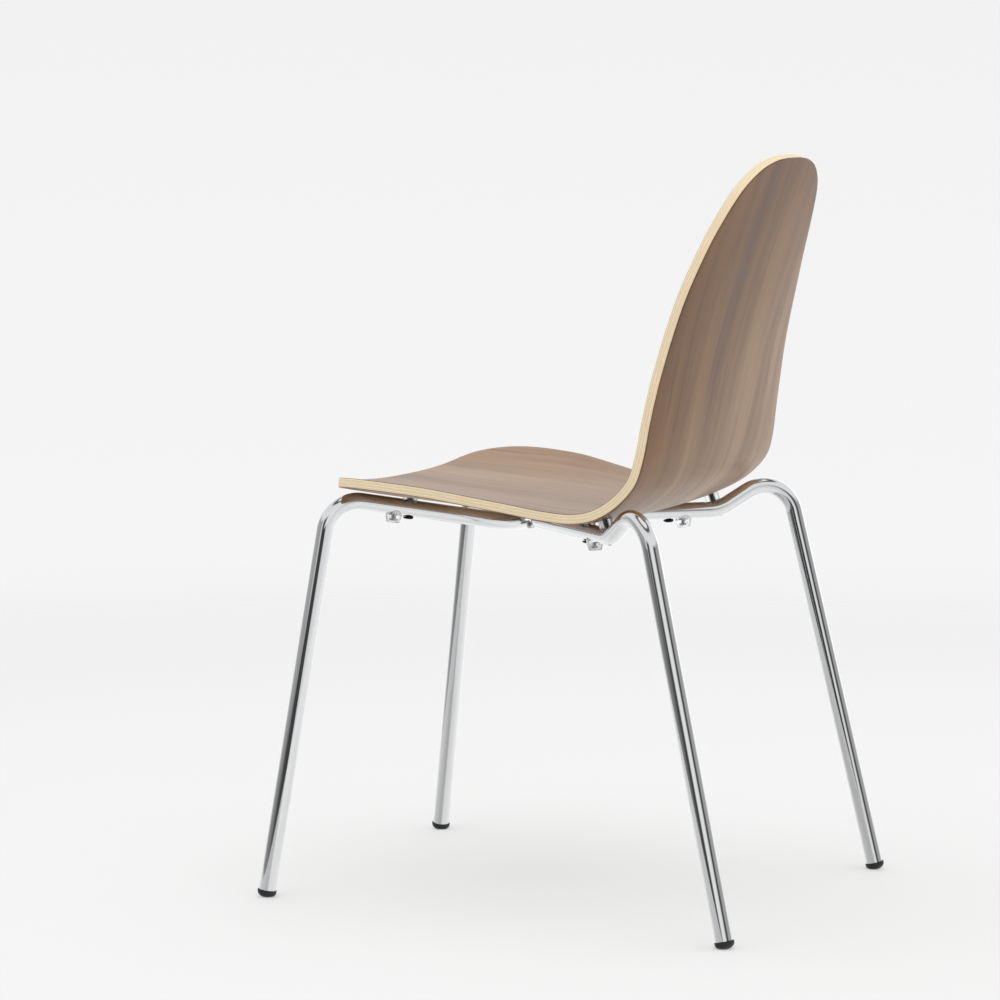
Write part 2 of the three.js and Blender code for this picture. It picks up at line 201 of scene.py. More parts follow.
class Shader(NodeKit):
    """A Principled material. The constants are set on its shader's own sockets."""

    def __init__(self, name, **constants):
        self.material = bpy.data.materials.new(name)
        self.material.use_nodes = True
        super().__init__(self.material.node_tree)
        self.bsdf = self.tree.nodes["Principled BSDF"]
        for key, value in constants.items():
            self.bsdf.inputs[key.replace("_", " ")].default_value = value

    def bump(self, height, distance, strength=1.0):
        made = self.node("ShaderNodeBump", {"Height": height}, Distance=distance, Strength=strength)
        self.tree.links.new(made.outputs["Normal"], self.bsdf.inputs["Normal"])

    def feed(self, socket, source):
        self.tree.links.new(source, self.bsdf.inputs[socket])

    def place(self):
        return self.node("ShaderNodeTexCoord").outputs["Object"]

    def blank(self):
        """Place on the shell's flat blank: across, along and depth, in metres."""
        return self.node("ShaderNodeAttribute", attribute_name="blank").outputs["Vector"]


FINE_BUMP, MOTTLE_BUMP, PLATED_BUMP = 0.00005, 0.00004, 0.000008   # metres
FROST_BUMP = 0.00003


def walnut(name, seed, warmth):
    """Sliced walnut under a thin satin lacquer. The grain runs along the blank."""
    s = Shader(name, Specular_IOR_Level=0.3, Coat_Weight=0.38, Coat_Roughness=0.36)
    shifted = s.node("ShaderNodeMapping", {"Vector": s.blank()}, Location=(seed, seed * 0.37, 0))
    base = shifted.outputs["Vector"]
    sway = s.noise(s.stretched(base, (5, 1.9, 0)), 1.0, 2, 0.5)
    lean = s.node("ShaderNodeCombineXYZ", {"X": s.spread(sway, 0.2, 0.8, -0.03, 0.03)})
    grain = s.node(
        "ShaderNodeVectorMath", {0: base, 1: lean.outputs["Vector"]}, operation="ADD",
    ).outputs["Vector"]
    broad = s.noise(s.stretched(grain, (15, 1.1, 0)), 1.0, 3, 0.55, 0.3)
    bands = s.noise(s.stretched(grain, (34, 2.6, 0)), 1.0, 4, 0.5, 0.8)
    flecks = s.noise(s.stretched(grain, (95, 6.5, 0)), 1.0, 1, 0.5, 0.6)
    fine = s.noise(s.stretched(grain, (330, 7, 0)), 1.0, 3, 0.6)
    pores = s.noise(s.stretched(grain, (1500, 45, 0)), 1.0, 2, 0.5)
    body = s.ramp(broad, [
        (0.30, (0.130, 0.064, 0.027)), (0.45, (0.184, 0.098, 0.046)),
        (0.56, (0.222, 0.125, 0.063)), (0.72, (0.256, 0.152, 0.082)),
    ])
    streaked = s.blend("MULTIPLY", 0.55, body, s.ramp(bands, [
        (0.32, (0.68, 0.64, 0.60)), (0.46, (0.95, 0.94, 0.93)), (0.66, (1.10, 1.10, 1.10)),
    ]))
    flecked = s.blend("MULTIPLY", 0.5, streaked, s.ramp(flecks, [
        (0.30, (0.62, 0.60, 0.58)), (0.39, (1, 1, 1)),
    ]))
    lined = s.blend("MULTIPLY", 0.2, flecked, s.ramp(fine, [
        (0.32, (0.78, 0.76, 0.74)), (0.60, (1.06, 1.06, 1.06)),
    ]))
    dark = s.ramp(pores, [(0.30, (0.55, 0.52, 0.50)), (0.40, (1, 1, 1))])
    porous = s.blend("MULTIPLY", 0.35, lined, dark)
    # Painted sheen and painted shade: the veneer is painted lighter and greyer towards the lower
    # blank and the -X side as a painted sheen, and darker and warmer towards the top of the back
    # and the +X side as painted shade.
    part = s.node("ShaderNodeSeparateXYZ", {"Vector": s.blank()}).outputs
    sheen_to_shade = s.maths(
        "ADD", s.spread(part["X"], -0.19, 0.15, -0.35, 0.35),
        s.spread(part["Y"], 0.40, 0.70, 0.0, 0.75),
    )
    painted_sheen_and_shade = s.ramp(sheen_to_shade, [
        (0.08, (1.32, 1.42, 1.52)), (0.40, (0.97, 0.86, 0.60)), (0.80, (0.69, 0.49, 0.12)),
    ])
    sheened_and_shaded = s.blend("MULTIPLY", 1.0, porous, painted_sheen_and_shade)
    s.feed("Base Color", s.blend("MULTIPLY", 1.0, sheened_and_shaded, warmth))
    s.feed("Roughness", s.spread(fine, 0.3, 0.7, 0.50, 0.40))
    relief = s.maths("ADD", s.maths("MULTIPLY", fine, 0.5), s.maths("MULTIPLY", pores, 0.5))
    s.bump(relief, FINE_BUMP)
    return s.material


PLY_COUNT = 6
PLY_WANDER = 0.12                   # how far a ply's edge strays from its level, in millimetres


def birch_ply():
    """The edge of the core: pale plies, long grain and end grain by turns, with glue lines."""
    s = Shader("birch_ply", Roughness=0.5, Specular_IOR_Level=0.4)
    where = s.blank()
    depth = s.node("ShaderNodeSeparateXYZ", {"Vector": where}).outputs["Z"]
    wander = s.noise(s.stretched(where, (18, 18, 0)), 1.0, 2)
    ply = (THICKNESS - 2 * VENEER) * MM / PLY_COUNT
    level = s.maths("ADD", depth, s.spread(wander, 0, 1, -PLY_WANDER * MM, PLY_WANDER * MM))
    phase = s.maths("DIVIDE", s.maths("SUBTRACT", level, VENEER * MM), 2 * ply)
    share = s.maths("FRACT", phase)
    long_grain = s.noise(s.stretched(where, (60, 60, 2600)), 1.0, 3)
    end_grain = s.noise(s.stretched(where, (1100, 1100, 900)), 1.0, 2)
    pale = s.ramp(long_grain, [(0.3, (0.76, 0.62, 0.42)), (0.7, (0.88, 0.76, 0.56))])
    deeper = s.ramp(end_grain, [(0.3, (0.69, 0.54, 0.34)), (0.7, (0.81, 0.67, 0.46))])
    turn = s.ramp(share, [
        (0.0, (0, 0, 0)), (0.47, (0, 0, 0)), (0.52, (1, 1, 1)), (0.97, (1, 1, 1)),
    ])
    plies = s.blend("MIX", turn, pale, deeper)
    half = s.maths("FRACT", s.maths("MULTIPLY", phase, 2))
    near = s.maths("MINIMUM", half, s.maths("SUBTRACT", 1, half))
    glue = s.ramp(near, [(0.02, (0.76, 0.67, 0.57)), (0.14, (1, 1, 1))])
    s.feed("Base Color", s.blend("MULTIPLY", 0.8, plies, glue))
    s.feed("Roughness", s.spread(end_grain, 0.3, 0.7, 0.44, 0.58))
    s.bump(s.maths("ADD", end_grain, near), FINE_BUMP)
    return s.material


def chrome():
    """Bright chrome plate: a mirror with faint wipe marks and the ripple of a polished tube.

    The plate does not reach into the tube: faces marked "bore" are dull and dark.
    """
    s = Shader("chrome_plate", Metallic=1.0)
    smears = s.noise(s.place(), 38, 4, 0.6, 0.4)
    bore = s.node("ShaderNodeAttribute", attribute_name="bore").outputs["Fac"]
    s.feed("Base Color", s.blend("MIX", bore, (0.88, 0.89, 0.90), (0.05, 0.05, 0.052)))
    s.feed("Roughness", s.maths("ADD", s.spread(smears, 0.35, 0.75, 0.035, 0.075), bore))
    s.bump(s.noise(s.place(), 160, 2), PLATED_BUMP, 0.5)
    return s.material


def black_plastic():
    s = Shader("black_glide_plastic", Roughness=0.42, Specular_IOR_Level=0.45)
    scuffs = s.noise(s.place(), 420, 4, 0.6)
    s.feed("Base Color", s.ramp(scuffs, [
        (0.35, (0.008, 0.008, 0.009)), (0.7, (0.020, 0.020, 0.021)),
    ]))
    s.feed("Roughness", s.spread(scuffs, 0.3, 0.7, 0.34, 0.55))
    s.bump(scuffs, MOTTLE_BUMP)
    return s.material


def clear_plastic():
    """Natural polyethylene: clear, but frosted by its moulded surface."""
    s = Shader("clear_plastic", IOR=1.37, Transmission_Weight=1.0)
    haze = s.noise(s.place(), 260, 3)
    s.feed("Base Color", s.ramp(haze, [
        (0.3, (0.93, 0.94, 0.945)), (0.7, (0.97, 0.975, 0.98)),
    ]))
    s.feed("Roughness", s.spread(haze, 0.3, 0.7, 0.30, 0.44))
    s.bump(haze, FROST_BUMP)
    return s.material


def steel(name, tint, low, high, scale):
    s = Shader(name, Metallic=1.0, Roughness=0.35)
    mottle = s.noise(s.place(), scale, 4, 0.6)
    light = tuple(min(1, 1.25 * part) for part in tint)
    s.feed("Base Color", s.ramp(mottle, [(0.3, tint), (0.7, light)]))
    s.feed("Roughness", s.spread(mottle, 0.3, 0.7, low, high))
    s.bump(mottle, MOTTLE_BUMP)
    return s.material


FINISHES = {
    "walnut_face": walnut("walnut_face", 3.1, (1.04, 1.00, 0.97)),
    "walnut_back": walnut("walnut_back", 11.7, (1.0, 1.0, 1.0)),
    "birch_ply": birch_ply(),
    "chrome_tube": chrome(),
    "black_glide": black_plastic(),
    "clear_plastic": clear_plastic(),
    "black_screw": steel("black_oxide_steel", (0.022, 0.022, 0.024), 0.3, 0.5, 500),
    "zinc_steel": steel("zinc_plate", (0.52, 0.53, 0.54), 0.22, 0.42, 300),
    "weld": steel("plated_weld", (0.62, 0.63, 0.64), 0.12, 0.3, 220),
}


# ---- Mesh kit --------------------------------------------------------------------------------
def add_piece(name, points, faces, slot, replaces, blank=None, sharp=38):
    """A smooth-shaded piece made from points in millimetres, riding on the chair."""
    mesh = bpy.data.meshes.new(name)
    mesh.from_pydata((np.asarray(points, float) * MM).tolist(), [], faces)
    if blank is not None:
        layer = mesh.attributes.new("blank", "FLOAT_VECTOR", "POINT")
        layer.data.foreach_set("vector", (np.asarray(blank, float) * MM).astype(np.float32).ravel())
    mesh.materials.append(FINISHES[slot])
    mesh.validate()
    mesh.polygons.foreach_set("use_smooth", [True] * len(mesh.polygons))
    mesh.set_sharp_from_angle(angle=math.radians(sharp))
    piece = bpy.data.objects.new(name, mesh)
    bpy.context.scene.collection.objects.link(piece)
    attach(piece, "root")
    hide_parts(replaces)
    return piece


def ring_faces(rows, sides, wrap=False):
    """Quads between `rows` rings of `sides` points each."""
    faces = []
    last = rows if wrap else rows - 1
    for row in range(last):
        here, there = row * sides, ((row + 1) % rows) * sides
        for side in range(sides):
            after = (side + 1) % sides
            faces.append((here + side, here + after, there + after, there + side))
    return faces


def unit(vector):
    return vector / np.linalg.norm(vector, axis=-1, keepdims=True)


# ---- Curves ----------------------------------------------------------------------------------
class SmoothCurve:
    """A centripetal Catmull-Rom curve through the points, run at even speed."""

    def __init__(self, points, samples_per_span=160):
        p = np.asarray(points, float)
        p = np.vstack([2 * p[0] - p[1], p, 2 * p[-1] - p[-2]])
        t = np.linspace(0, 1, samples_per_span, endpoint=False)[:, None]
        spans = []
        for i in range(1, len(p) - 2):
            spans.append(self.span(p[i - 1:i + 3], t))
        self.points = np.vstack([*spans, p[-2:-1]])
        steps = np.linalg.norm(np.diff(self.points, axis=0), axis=1)
        self.reach = np.concatenate([[0], np.cumsum(steps)])
        self.tangents = unit(np.gradient(self.points, self.reach, axis=0))

    @staticmethod
    def span(p, t):
        gaps = np.linalg.norm(np.diff(p, axis=0), axis=1) ** 0.5
        middle = (p[2] - p[1]) / gaps[1]
        ease_in = (p[1] - p[0]) / gaps[0] - (p[2] - p[0]) / (gaps[0] + gaps[1]) + middle
        ease_out = middle - (p[3] - p[1]) / (gaps[1] + gaps[2]) + (p[3] - p[2]) / gaps[2]
        a, b = ease_in * gaps[1], ease_out * gaps[1]
        square = 3 * (p[2] - p[1]) - 2 * a - b
        cube = 2 * (p[1] - p[2]) + a + b
        return p[1] + a * t + square * t ** 2 + cube * t ** 3

    @property
    def length(self):
        return self.reach[-1]

    def at(self, distance):
        return np.stack([np.interp(distance, self.reach, c) for c in self.points.T], -1)

    def along(self, distance):
        return unit(np.stack([np.interp(distance, self.reach, c) for c in self.tangents.T], -1))


def smoothstep(value, low, high):
    share = np.clip((value - low) / (high - low), 0, 1)
    return share * share * (3 - 2 * share)


# ---- The shell's surface ---------------------------------------------------------------------
profile = SmoothCurve(PROFILE)
outline = SmoothCurve(BLANK)


def shell_point(distance, across, depth=0.0):
    """A point of the shell: distance along the profile, place across, depth below the face."""
    distance, across, depth = np.broadcast_arrays(
        np.asarray(distance, float), np.asarray(across, float), np.asarray(depth, float),
    )
    middle, along = profile.at(distance), profile.along(distance)
    dish = (
        DISH_FRONT + (DISH_BEND - DISH_FRONT) * smoothstep(distance, *DISH_RUN_IN)
        + (DISH_BACK - DISH_BEND) * smoothstep(distance, *DISH_RUN_OUT)
    )
    rise = dish * (np.abs(across) / DISH_WIDTH) ** DISH_POWER - depth
    return np.stack([
        across, middle[..., 0] - along[..., 1] * rise, middle[..., 1] + along[..., 0] * rise,
    ], -1)


def edge_section(top, bottom, steps=5):
    """(inset, depth) pairs down the sanded edge between two depths, all in millimetres."""
    corner = EDGE_RADIUS * (1 - np.cos(np.linspace(0, math.pi / 2, steps + 1)))
    depths = np.unique(np.concatenate([corner, THICKNESS - corner, [top, bottom]]).round(6))
    depths = depths[(depths >= top - 1e-6) & (depths <= bottom + 1e-6)]
    from_face = np.minimum(depths, THICKNESS - depths)
    into = np.clip(EDGE_RADIUS - from_face, 0, EDGE_RADIUS)
    insets = EDGE_RADIUS - np.sqrt(EDGE_RADIUS ** 2 - into ** 2)
    return list(zip(insets, depths))


def outline_rows(inset):
    """(half-width, distance) rows of the blank, moved in from its edge by `inset`."""
    reach = np.linspace(0, outline.length, SHELL_ROWS + 1)
    edge, along = outline.at(reach), outline.along(reach)
    outward = np.stack([along[:, 1], -along[:, 0]], -1)
    return edge - outward * inset


def shell_layer(name, top, bottom, slot, replaces):
    """One layer of the shell as a closed solid between two depths, with its part of the edge."""
    share = np.linspace(-1, 1, SHELL_COLUMNS + 1)
    section = edge_section(top, bottom)
    faces = []

    def grid(inset, depth):
        rows = outline_rows(inset)
        across = rows[:, :1] * share[None, :]
        along = np.repeat(rows[:, 1:], len(share), axis=1)
        return np.stack([across, along, np.full_like(across, depth)], -1)

    size = len(share)
    loop = list(range(size))
    loop += [row * size + size - 1 for row in range(1, SHELL_ROWS + 1)]
    loop += [SHELL_ROWS * size + column for column in range(size - 2, -1, -1)]
    loop += [row * size for row in range(SHELL_ROWS - 1, 0, -1)]
    grids = [grid(inset, depth).reshape(-1, 3) for inset, depth in section]
    upper, lower = grids[0], grids[-1]
    blanks = [upper, lower]
    for row in range(SHELL_ROWS):
        for column in range(size - 1):
            a = row * size + column
            faces.append((a, a + 1, a + 1 + size, a + size))
            faces.append(tuple(i + len(upper) for i in (a, a + size, a + 1 + size, a + 1)))
    rings = [loop]
    start = len(upper) + len(lower)
    for middle in grids[1:-1]:
        blanks.append(middle[loop])
        rings.append(list(range(start, start + len(loop))))
        start += len(loop)
    rings.append([i + len(upper) for i in loop])
    for here, there in zip(rings, rings[1:]):
        for k in range(len(loop)):
            after = (k + 1) % len(loop)
            faces.append((here[k], there[k], there[after], here[after]))
    blank = np.vstack(blanks)
    points = shell_point(blank[:, 1], blank[:, 0], blank[:, 2])
    return add_piece(name, points, faces, slot, replaces, blank=blank, sharp=50)


shell_layer("shell_face_veneer", 0, VENEER, "walnut_face", "face_veneer")
shell_layer("shell_plywood_core", VENEER, THICKNESS - VENEER, "birch_ply", "plywood_core")
shell_layer("shell_back_veneer", THICKNESS - VENEER, THICKNESS, "walnut_back", "back_veneer")


# ---- Tube centre lines -----------------------------------------------------------------------
class BentLine:
    """A bent centre line: straight runs, and arcs in even steps. Symmetrical about x = 0."""

    def __init__(self, corners, radii):
        near = [np.array(c, float) for c in corners]
        far = [c * (-1, 1, 1) for c in near[-2::-1]]
        corners, radii = near + far, list(radii) + list(radii[-2::-1])
        runs = [unit(b - a) for a, b in zip(corners, corners[1:])]
        points, tangents = [corners[0]], [runs[0]]
        for corner, before, after, radius in zip(corners[1:], runs, runs[1:], radii):
            angle = math.acos(float(before @ after))
            start = corner - before * radius * math.tan(angle / 2)
            inward = unit(after - before * (after @ before))
            steps = max(3, round(math.degrees(angle) / BEND_STEP))
            for turn in np.linspace(0, angle, steps + 1):
                ahead, aside = math.sin(turn), 1 - math.cos(turn)
                points.append(start + radius * (before * ahead + inward * aside))
                tangents.append(before * math.cos(turn) + inward * math.sin(turn))
        points.append(corners[-1])
        tangents.append(runs[-1])
        self.points, self.tangents = np.array(points), np.array(tangents)

    def at_x(self, x):
        """The point and direction of the left half at a distance from the middle plane."""
        half = len(self.points) // 2 + 1
        i = next(k for k in range(1, half) if self.points[k][0] <= x)
        a, b = self.points[i - 1], self.points[i]
        share = (a[0] - x) / (a[0] - b[0])
        tangent = unit(self.tangents[i - 1] * (1 - share) + self.tangents[i] * share)
        return a * (1 - share) + b * share, tangent

    def nearest(self, places):
        """For each place, the nearest point of the centre line."""
        best = np.full(len(places), np.inf)
        found = np.zeros_like(places)
        for a, b in zip(self.points, self.points[1:]):
            share = np.clip((places - a) @ (b - a) / ((b - a) @ (b - a)), 0, 1)
            candidate = a + share[:, None] * (b - a)
            miss = np.linalg.norm(places - candidate, axis=1)
            closer = miss < best
            best[closer], found[closer] = miss[closer], candidate[closer]
        return found

    def rings(self, radius):
        """Rings of points round the line, without twist."""
        side = unit(np.cross(self.tangents[0], (0, 0, 1)))
        angles = np.linspace(0, 2 * math.pi, TUBE_SIDES, endpoint=False)
        rows = []
        for point, tangent in zip(self.points, self.tangents):
            side = unit(side - tangent * (side @ tangent))
            up = np.cross(tangent, side)
            circle = np.outer(np.cos(angles), side) + np.outer(np.sin(angles), up)
            rows.append(point + radius * circle)
        return np.array(rows)


LINES = {"front": BentLine(**FRONT_TUBE), "rear": BentLine(**REAR_TUBE)}


# ---- Fastener places -------------------------------------------------------------------------
def shell_frame(distance, across, depth=0.0, step=0.5):
    """Unit vectors along the profile, to the side, and out of the face, at a point of the shell."""
    ahead, behind = (shell_point(distance + d, across, depth) for d in (step, -step))
    left, right = (shell_point(distance, across + d, depth) for d in (step, -step))
    along, side = unit(ahead - behind), unit(left - right)
    return along, side, unit(np.cross(side, along))


class Axis:
    """A centre with directions `along`, `side` and `axis`, on the left or right of the chair."""

    def put(self, local):
        """Points from (along, aside, up the axis), on this axis's side of the chair."""
        local = np.asarray(local, float)
        out = (
            self.centre + local[:, :1] * self.along + local[:, 1:2] * self.side
            + local[:, 2:] * self.axis
        )
        return out * (self.sign, 1, 1)

    def order(self, faces):
        """Mirroring turns faces inside out, so they are wound the other way on the right."""
        return faces if self.sign > 0 else [face[::-1] for face in faces]


class Place(Axis):
    """Where a fastener sits: on a tube's centre line, with its axis square to the shell."""

    def __init__(self, name, line, x, size=None):
        self.name, self.line, self.size = name, line, size
        self.centre, self.tangent = LINES[line].at_x(abs(x))
        distance, across = self.centre[1] - PROFILE[0][0], self.centre[0]
        for _ in range(12):
            along, side, normal = shell_frame(distance, across)
            miss = self.centre - shell_point(distance, across)
            miss = miss - normal * (miss @ normal)
            distance += float(miss @ along)
            across += float(miss @ side)
        face = shell_point(distance, across)
        self.axis = unit(face - self.centre)
        self.reach = float(np.linalg.norm(face - self.centre))
        self.distance, self.across, self.sign = distance, across, 1 if x > 0 else -1
        self.along = unit(self.tangent - self.axis * (self.tangent @ self.axis))
        self.side = np.cross(self.axis, self.along)

    def under_shell(self, u, v):
        """Height up the axis at which the shell's underside is, at a point beside the axis."""
        target = self.centre + u * self.along + v * self.side
        distance, across = self.distance, self.across
        for _ in range(8):
            along, side, _normal = shell_frame(distance, across, THICKNESS)
            miss = target - shell_point(distance, across, THICKNESS)
            miss = miss - self.axis * (miss @ self.axis)
            distance += float(miss @ along)
            across += float(miss @ side)
        return float((shell_point(distance, across, THICKNESS) - self.centre) @ self.axis)


SIDES = (("left", 1), ("right", -1))
MOUNT_SETS = (
    ("front", "front", FRONT_SCREW_X, SCREW),
    ("rear", "rear", REAR_SCREW_X, SCREW),
    ("standoff", "rear", STANDOFF_X, STANDOFF_SCREW),
)
BUMPER_SETS = (
    ("front", "front", FRONT_BUMPER_X, BUMPER_SCREW),
    ("rear", "rear", REAR_BUMPER_X, BUMPER_SCREW),
)


def places(sets):
    return [
        Place(f"{name}_{side_name}", line, sign * x, size)
        for side_name, sign in SIDES for name, line, x, size in sets
    ]


MOUNTS, BUMPERS = places(MOUNT_SETS), places(BUMPER_SETS)


# ---- Tubes, with their screw holes -----------------------------------------------------------
def cut(piece, cutters):
    """Cuts the cutters out of the piece and removes them."""
    for cutter in cutters:
        modifier = piece.modifiers.new("cut", "BOOLEAN")
        modifier.operation, modifier.solver, modifier.object = "DIFFERENCE", "EXACT", cutter
    evaluated = piece.evaluated_get(bpy.context.evaluated_depsgraph_get())
    mesh = bpy.data.meshes.new_from_object(evaluated)
    piece.modifiers.clear()
    old, name = piece.data, piece.data.name
    piece.data = mesh
    bpy.data.meshes.remove(old)
    mesh.name = name
    for cutter in cutters:
        data = cutter.data
        bpy.data.objects.remove(cutter)
        bpy.data.meshes.remove(data)


def make_cutter(place, radius, low, high, sides=40):
    """A plain cylinder on the place's axis, between two heights."""
    angles = np.linspace(0, 2 * math.pi, sides, endpoint=False)
    circle = np.stack([np.cos(angles), np.sin(angles)], -1) * radius
    local = [(u, v, low) for u, v in circle] + [(u, v, high) for u, v in circle]
    faces = ring_faces(2, sides) + [tuple(range(sides))[::-1], tuple(range(sides, 2 * sides))]
    mesh = bpy.data.meshes.new("cutter")
    mesh.from_pydata((place.put(local) * MM).tolist(), [], place.order(faces))
    made = bpy.data.objects.new("cutter", mesh)
    bpy.context.scene.collection.objects.link(made)
    return made


def round_normals(piece, line):
    """Gives the tube the normals of a true round tube, so that its reflections run smoothly.

    Faces that are not on the outside are marked "bore" for the material.
    """
    tolerance = 0.2
    mesh = piece.data
    mesh.polygons.foreach_set("use_smooth", [True] * len(mesh.polygons))
    points = np.array([v.co for v in mesh.vertices]) / MM
    radial = points - line.nearest(points)
    distance = np.linalg.norm(radial, axis=1)
    radial = radial / distance[:, None]
    normals = np.zeros((len(mesh.loops), 3))
    bore = mesh.attributes.new("bore", "FLOAT", "FACE")
    for face in mesh.polygons:
        corners = list(face.vertices)
        flat = np.array(face.normal)
        facing = flat @ radial[corners[0]]
        outer = np.all(distance[corners] > TUBE_RADIUS - tolerance) and facing > 0.6
        inner = np.all(distance[corners] < TUBE_BORE + tolerance) and facing < -0.6
        bore.data[face.index].value = 0 if outer else 1
        for loop, corner in zip(face.loop_indices, corners):
            normals[loop] = radial[corner] if outer else -radial[corner] if inner else flat
    mesh.normals_split_custom_set(normals.tolist())


def add_tube(name, line_name, replaces):
    line = LINES[line_name]
    outer, inner = line.rings(TUBE_RADIUS), line.rings(TUBE_BORE)
    rows = len(outer)
    points = np.vstack([outer.reshape(-1, 3), inner[::-1].reshape(-1, 3)])
    faces = ring_faces(2 * rows, TUBE_SIDES, wrap=True)
    piece = add_piece(name, points, faces, "chrome_tube", replaces)
    upper, lower = (1, TUBE_RADIUS + 2), (-TUBE_RADIUS - 2, -1)
    cutters = []
    for place in MOUNTS:
        if place.line == line_name:
            cutters.append(make_cutter(place, place.size["hole"], *upper))
            cutters.append(make_cutter(place, place.size["access"], *lower))
    for place in BUMPERS:
        if place.line == line_name:
            cutters.append(make_cutter(place, BUMPER_SCREW["shank"] + GAP, *lower, sides=24))
    cut(piece, cutters)
    round_normals(piece, line)


add_tube("front_leg_tube_chrome", "front", "front_leg_tube")
add_tube("rear_leg_tube_chrome", "rear", "rear_leg_tube")


# ---- Turned pieces ---------------------------------------------------------------------------
def hexagon(angle):
    """Radius of a hexagon with a flat-to-centre distance of 1, at an angle."""
    return 1 / math.cos((angle + math.pi / 6) % (math.pi / 3) - math.pi / 6)


def turned(name, place, profile_points, slot, replaces, sides=40, closed=False):
    """A turned piece from (radius, height) points.

    A third entry shapes a ring: "hex" makes it a hexagon, and a function of the point beside the
    axis gives its height.
    """
    angles = np.linspace(0, 2 * math.pi, sides, endpoint=False)
    local = []
    for radius, height, *shape in profile_points:
        kind = shape[0] if shape else None
        for angle in angles:
            r = radius * hexagon(angle) if kind == "hex" else radius
            u, v = r * math.cos(angle), r * math.sin(angle)
            local.append((u, v, kind(u, v) if callable(kind) else height))
    rows = len(profile_points)
    faces = ring_faces(rows, sides, wrap=closed)
    if not closed:
        local += [(0, 0, profile_points[0][1]), (0, 0, profile_points[-1][1])]
        first, last = rows * sides, rows * sides + 1
        for side in range(sides):
            after = (side + 1) % sides
            faces.append((first, after, side))
            faces.append((last, (rows - 1) * sides + side, (rows - 1) * sides + after))
    return add_piece(name, place.put(local), place.order(faces), slot, replaces)


def rounded(corner_radius, low, high, size, steps=4):
    """Profile points of a rounded corner from the face at `low` to `size`, then up to `high`."""
    out = []
    for turn in np.linspace(0, math.pi / 2, steps + 1):
        inset, rise = 1 - math.sin(turn), 1 - math.cos(turn)
        out.append((size - corner_radius * inset, low + corner_radius * rise))
    return out + [(size, high)]


def domed(inner, outer, low, high, rim=0.4, steps=6):
    """Profile points of a low domed head, from its flat out to its rim."""
    out = []
    for turn in np.linspace(0, math.pi / 2, steps + 1)[1:]:
        reach, rise = math.sin(turn), 1 - math.cos(turn)
        out.append((inner + (outer - inner) * reach, low + (high - rim - low) * rise))
    return out + [(outer, high)]


def thread(shank, start, end, pitch=0.8, depth=0.22):
    """Rings of a threaded shank, as grooves."""
    points, height = [], start
    while height + pitch <= end:
        points += [
            (shank, height + 0.15 * pitch), (shank - depth, height + 0.5 * pitch),
            (shank, height + 0.85 * pitch),
        ]
        height += pitch
    return points


def saddle(u, v):
    """Height of the clearance round the tube, below its centre line, at a point beside the axis."""
    clear = TUBE_RADIUS + GAP
    return -math.sqrt(max(0.0, clear ** 2 - v ** 2))


def on_tube(u, v):
    """Height of the same clearance above the centre line."""
    return -saddle(u, v)


def add_mount(place):
    """A screw up through the tube into the shell, and the clear spacer round it."""
    size, seat, hole = place.size, place.size["seat"], place.size["hole"]
    bottom = seat - size["height"]
    tip = place.reach - VENEER - GAP - TNUT_COVER - 1
    turned(
        f"mount_screw_{place.name}_detail", place,
        [
            (size["socket"] * 0.98, bottom + 1.6, "hex"), (size["socket"], bottom + 0.25, "hex"),
            (size["socket"] + 0.5, bottom),
            *domed(size["socket"] + 0.5, size["head"], bottom, seat),
            (size["shank"], seat),
            *thread(size["shank"], seat + 3, tip - 0.8),
            (size["shank"] - 0.8, tip),
        ],
        "black_screw", f"mount_screw_{place.name}",
    )

    def below_shell(u, v):
        return place.under_shell(u, v) - GAP

    turned(
        f"clear_spacer_{place.name}_detail", place,
        [
            (hole, 0, on_tube), (SPACER_RADIUS - SPACER_EDGE, 0, on_tube),
            (SPACER_RADIUS, 0, lambda u, v: on_tube(u, v) + SPACER_EDGE_DROP),
            (SPACER_RADIUS, 0, lambda u, v: below_shell(u, v) - SPACER_EDGE_DROP),
            (SPACER_RADIUS - SPACER_EDGE, 0, below_shell), (hole, 0, below_shell),
        ],
        "clear_plastic", f"clear_spacer_{place.name}", closed=True,
    )


def add_bumper(place):
    """A clear stacking bumper under the tube, and the screw that holds it."""
    base = -TUBE_RADIUS - BUMPER["below"]
    lip = -TUBE_RADIUS + BUMPER["above"]
    seat = base + BUMPER["seat"]
    top, hole, recess = BUMPER["top"], BUMPER["hole"], BUMPER["recess"]

    def wrap(u, v):
        return min(saddle(u, v), lip)

    turned(
        f"stacking_bumper_{place.name}_detail", place,
        [
            (hole, seat), (recess, seat), (recess, base + 0.5), (recess + 0.4, base),
            *rounded(1.4, base, base + 1.4, BUMPER["base"])[:-1],
            (top, -TUBE_RADIUS), (top, 0, lambda u, v: wrap(u, v) - BUMPER["edge_drop"]),
            (top - BUMPER["edge"], 0, wrap), (top * BUMPER["inner"], 0, wrap), (hole, 0, wrap),
        ],
        "clear_plastic", f"stacking_bumper_{place.name}", closed=True, sides=56,
    )
    shank, socket = BUMPER_SCREW["shank"], BUMPER_SCREW["socket"]
    head_top = seat - GAP
    head_bottom = head_top - BUMPER_SCREW["height"]
    tip = -TUBE_RADIUS + TUBE_WALL + 3
    turned(
        f"bumper_screw_{place.name}_detail", place,
        [
            (socket, head_bottom + 1.1, "hex"), (socket, head_bottom + 0.2, "hex"),
            (socket + 0.4, head_bottom),
            *rounded(1.1, head_bottom, head_top, BUMPER_SCREW["head"]),
            (shank, head_top),
            *thread(shank, head_top + 1, tip - 1.5, 0.9, 0.3),
            (shank, tip - 1.5), (0.6, tip),
        ],
        "zinc_steel", f"bumper_screw_{place.name}",
    )


for place in MOUNTS:
    add_mount(place)
for place in BUMPERS:
    add_bumper(place)


